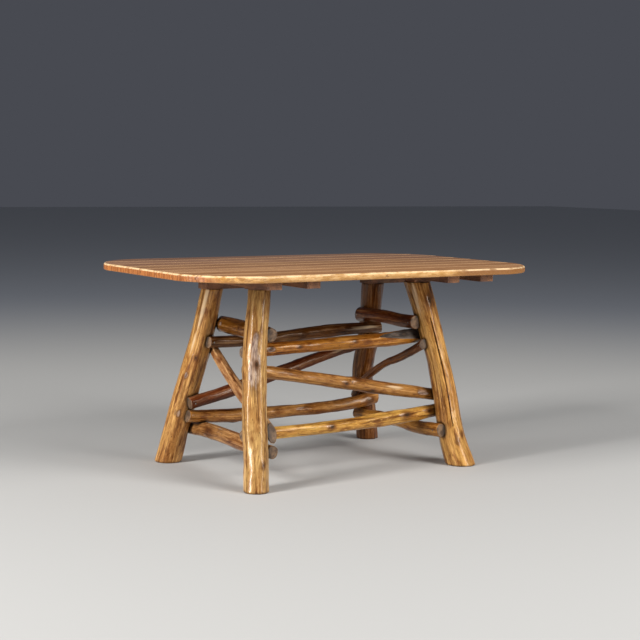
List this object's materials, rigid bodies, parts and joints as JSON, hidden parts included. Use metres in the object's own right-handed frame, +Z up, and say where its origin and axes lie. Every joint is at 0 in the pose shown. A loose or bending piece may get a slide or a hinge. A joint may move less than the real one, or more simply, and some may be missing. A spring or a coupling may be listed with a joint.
{
  "type": "rustic hickory dining table",
  "caption": "Plank dining table with rounded corners on splayed peeled-pole legs, tied together by nailed pole rails and diagonal braces.",
  "frame": {"origin": "on the floor, under the middle of the table top", "axes": "+X along the length of the top, +Y towards the back, +Z up; -Y is the front long side"},
  "size_m": [1.51, 0.94, 0.762],
  "materials": {
    "hickory": "varnished peeled hickory",
    "rail_hickory": "varnished peeled hickory",
    "top_planks": "satin lacquered planks",
    "underframe_timber": "planed, lightly stained",
    "steel": "plain steel"
  },
  "bodies": {
    "root": {"leg_back_left": "hickory", "leg_front_left": "hickory", "leg_front_right": "hickory", "leg_back_right": "hickory", "rail_front_upper": "rail_hickory", "rail_front_middle": "rail_hickory", "rail_front_lower": "rail_hickory", "rail_back_upper": "rail_hickory", "rail_back_diagonal": "rail_hickory", "rail_back_lower": "rail_hickory", "rail_left_upper": "rail_hickory", "rail_left_diagonal": "rail_hickory", "rail_left_lower": "rail_hickory", "rail_right_upper": "rail_hickory", "rail_right_diagonal": "rail_hickory", "rail_right_lower": "rail_hickory", "top_board_1": "top_planks", "top_board_2": "top_planks", "top_board_3": "top_planks", "top_board_4": "top_planks", "top_board_5": "top_planks", "top_board_6": "top_planks", "top_board_7": "top_planks", "top_board_8": "top_planks", "batten_outer_left": "underframe_timber", "batten_inner_left": "underframe_timber", "batten_inner_right": "underframe_timber", "batten_outer_right": "underframe_timber", "leg_cleat_left": "underframe_timber", "leg_cleat_right": "underframe_timber", "head_block_back_left": "underframe_timber", "head_block_front_left": "underframe_timber", "head_block_front_right": "underframe_timber", "head_block_back_right": "underframe_timber", "leg_pins": "underframe_timber", "batten_screws": "steel", "cleat_screws": "steel", "block_screws": "steel", "rail_nails": "steel"}
  },
  "joints": []
}
